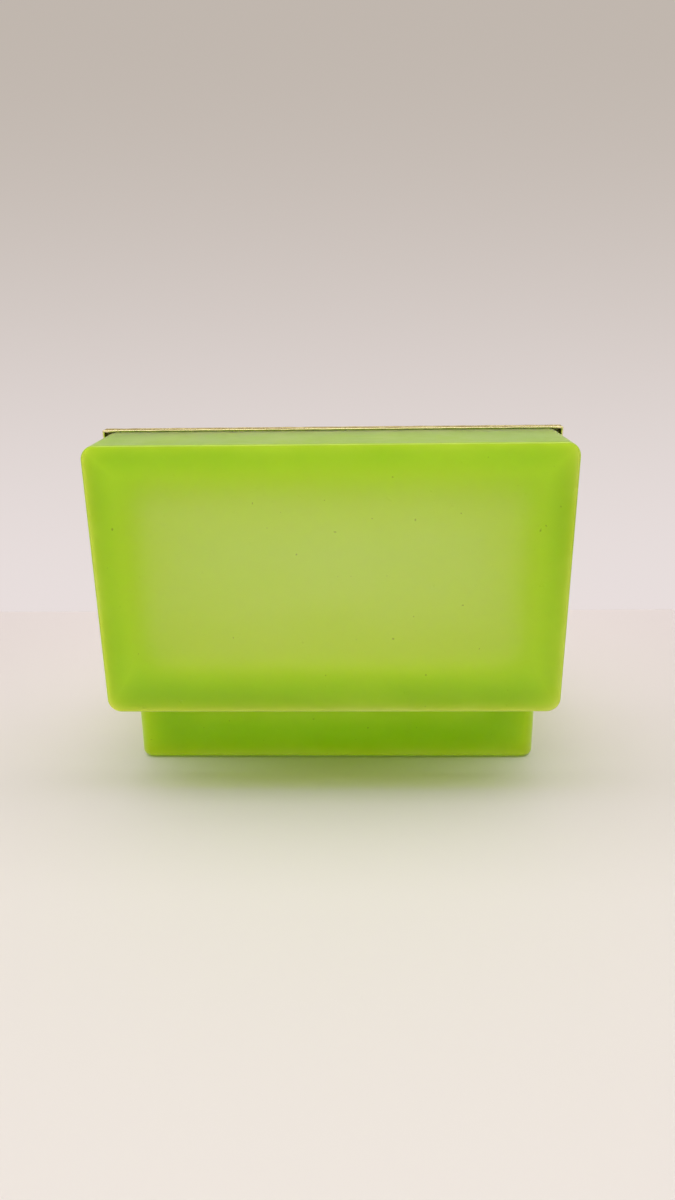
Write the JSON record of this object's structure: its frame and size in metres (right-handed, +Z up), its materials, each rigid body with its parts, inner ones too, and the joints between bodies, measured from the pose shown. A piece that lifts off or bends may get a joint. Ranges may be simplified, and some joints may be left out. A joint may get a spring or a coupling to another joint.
{
  "type": "hinged glass powder box",
  "caption": "Rectangular satin green glass box for face powder, its hinged lid standing open on lid stops, both mouths bound in square gilt brass rims.",
  "frame": {"origin": "middle of the base's underside, on the surface that it stands on", "axes": "+Z up, -Y towards the user at the front, +Y towards the hinge, +X to the user's right"},
  "size_m": [0.1282, 0.1078, 0.1066],
  "materials": {
    "green_glass": "satin, clouded, light passes through but no shapes show",
    "gilt_brass": "gilt, lightly worn",
    "plaster": "matt"
  },
  "bodies": {
    "base": {"glass_base": "green_glass", "base_bed": "plaster", "base_rim": "gilt_brass", "base_hinge_leaf": "gilt_brass", "hinge_pin": "gilt_brass", "lid_stop_left": "gilt_brass", "lid_stop_right": "gilt_brass", "catch_keeper": "gilt_brass"},
    "lid": {"glass_lid": "green_glass", "lid_bed": "plaster", "lid_rim": "gilt_brass", "lid_hinge_leaf": "gilt_brass", "catch_tongue": "gilt_brass"}
  },
  "joints": [
    {"name": "lid_hinge", "type": "hinge", "parent": "base", "child": "lid", "pos_m": [0, 0.04005, 0.02845], "axis": [1, 0, 0], "range_deg": [0, 92]}
  ]
}
